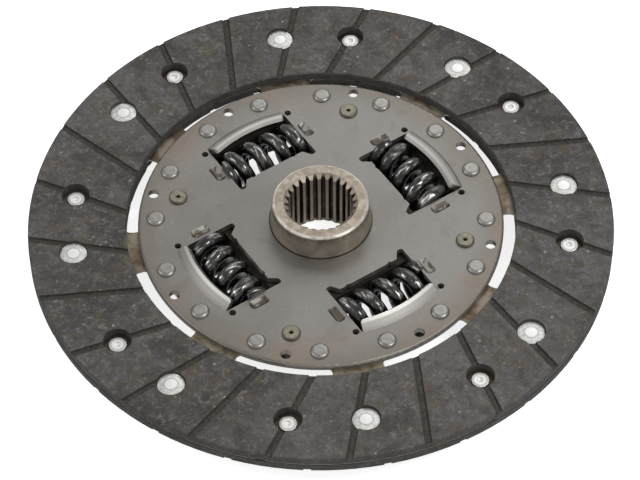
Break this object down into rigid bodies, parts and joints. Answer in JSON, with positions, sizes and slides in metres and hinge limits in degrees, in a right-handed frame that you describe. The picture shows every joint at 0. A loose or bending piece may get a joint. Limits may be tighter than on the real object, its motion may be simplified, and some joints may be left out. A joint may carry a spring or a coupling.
{
  "type": "clutch disc",
  "caption": "Round clutch disc: riveted grooved friction rings on spring segments, a sprung damper between two windowed plates, and a splined hub.",
  "frame": {"origin": "on the hub's axis, in the plane of the hub's gearbox end, on which the disc stands", "axes": "+Z along the hub's axis towards the flywheel; +X through the middle of a stop pin"},
  "size_m": [0.228, 0.228, 0.029],
  "materials": {
    "friction_facing": "dark moulded friction compound with fibres and brass flecks",
    "facing_rivet": "bright plated rivet heads",
    "plate_rivet": "satin grey steel",
    "plate_steel": "satin phosphated sheet steel",
    "pin_steel": "olive passivated steel",
    "segment_steel": "bronze-tinted tempered spring steel",
    "coil_steel": "black oiled spring wire",
    "spring_steel": "dark tempered spring steel",
    "hub_steel": "machined forged steel with oil film",
    "washer_plastic": "glass-filled plastic"
  },
  "bodies": {
    "hub": {"hub": "hub_steel"},
    "disc": {"facing_flywheel_side": "friction_facing", "facing_gearbox_side": "friction_facing", "cushion_segment_1": "segment_steel", "cushion_segment_2": "segment_steel", "cushion_segment_3": "segment_steel", "cushion_segment_4": "segment_steel", "cushion_segment_5": "segment_steel", "cushion_segment_6": "segment_steel", "cushion_segment_7": "segment_steel", "cushion_segment_8": "segment_steel", "facing_rivets_flywheel_side": "facing_rivet", "facing_rivets_gearbox_side": "facing_rivet", "segment_rivets": "plate_rivet", "drive_plate": "plate_steel", "counter_plate": "plate_steel", "stop_pins": "pin_steel", "friction_washer_flywheel_side": "washer_plastic", "friction_washer_gearbox_side": "washer_plastic", "support_washer": "plate_steel", "disc_spring": "spring_steel"},
    "springs": {"damper_spring_1": "coil_steel", "damper_spring_2": "coil_steel", "damper_spring_3": "coil_steel", "damper_spring_4": "coil_steel"}
  },
  "joints": [
    {"name": "damper_twist", "type": "hinge", "parent": "hub", "child": "disc", "pos_m": [0, 0, 0], "axis": [0, 0, 1], "range_deg": [-8, 8], "stiffness_Nm_per_rad": 40, "deforming": ["damper_spring_1", "damper_spring_2", "damper_spring_3", "damper_spring_4"]},
    {"name": "spring_follow", "type": "hinge", "parent": "hub", "child": "springs", "pos_m": [0, 0, 0], "axis": [0, 0, 1], "range_deg": [-4, 4]}
  ],
  "couplings": [
    {"joint": "spring_follow", "follows": "damper_twist", "ratio": 0.5}
  ]
}
